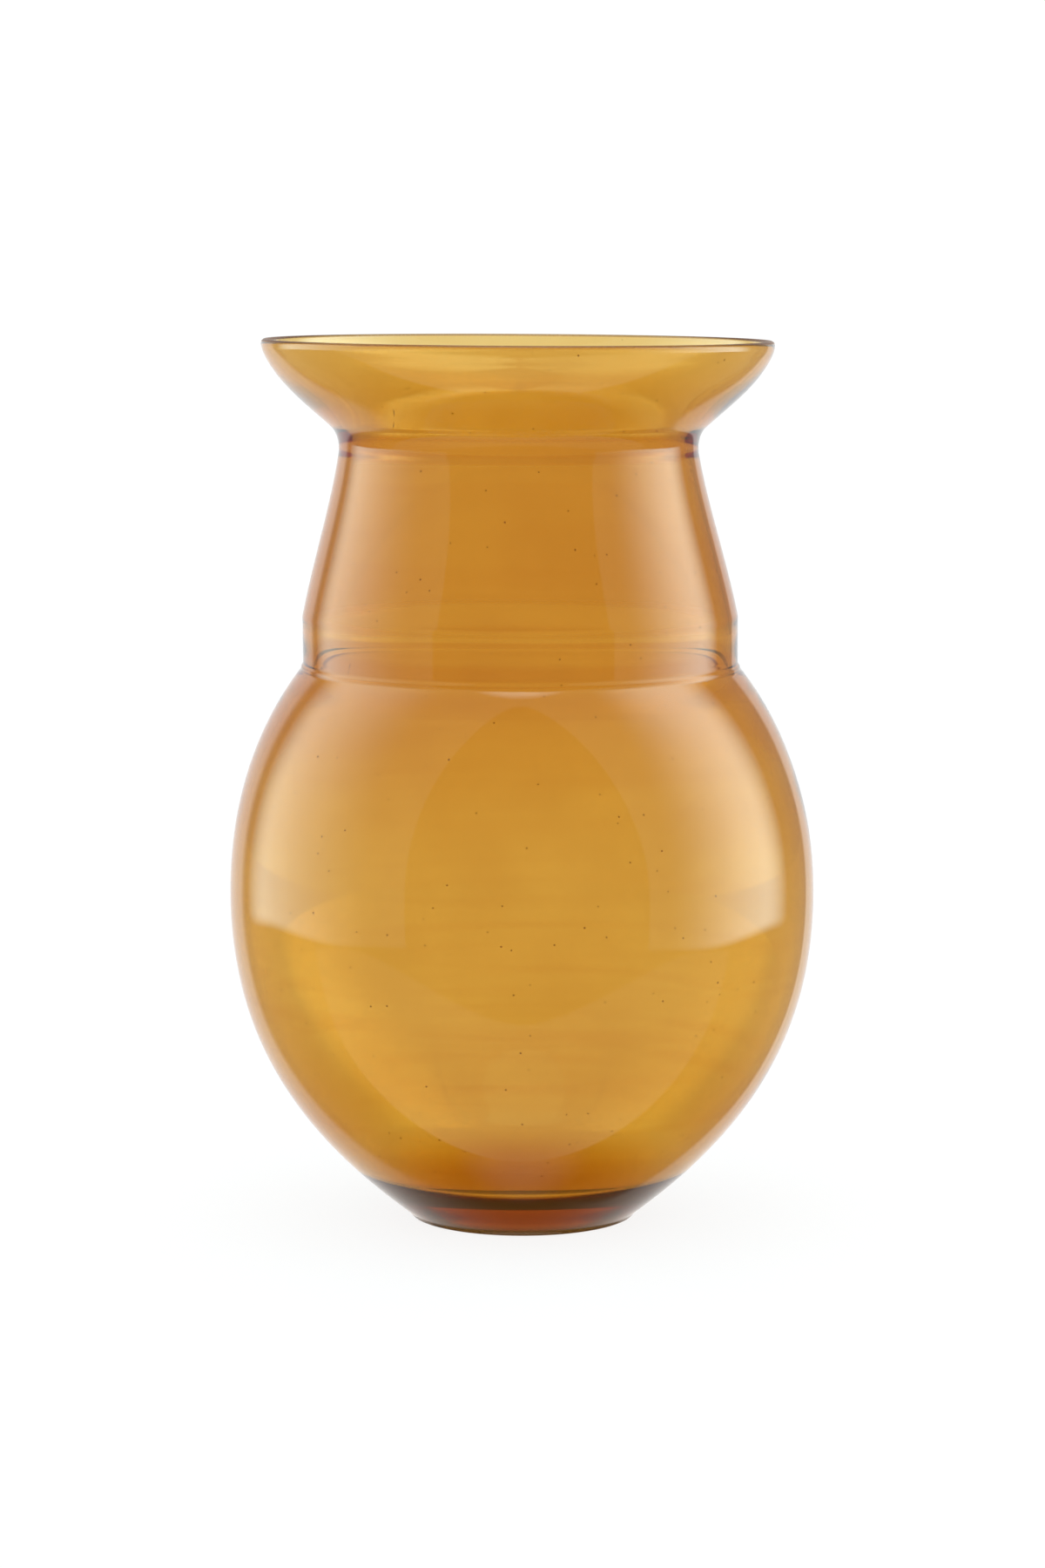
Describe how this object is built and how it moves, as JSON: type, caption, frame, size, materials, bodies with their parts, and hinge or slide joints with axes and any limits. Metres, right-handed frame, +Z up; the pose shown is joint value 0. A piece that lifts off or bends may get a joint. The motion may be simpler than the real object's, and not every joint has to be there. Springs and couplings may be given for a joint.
{
  "type": "glass vase",
  "caption": "Mouth-blown amber glass vase: flared collar, short conical neck, tooled crease and an egg-shaped bowl on a small flat foot, to hold water and cut stems.",
  "frame": {"origin": "centre of the foot's underside, on the surface the vase stands on", "axes": "+Z up along the vase's axis of revolution, from the foot to the mouth; X and Y are level and equivalent"},
  "size_m": [0.153, 0.153, 0.23],
  "materials": {
    "amber_glass": "clear tinted glass, glossy and fire-polished, with faint hand-blown waviness and a few small seeds"
  },
  "bodies": {
    "root": {"glass_vessel": "amber_glass"}
  },
  "joints": []
}
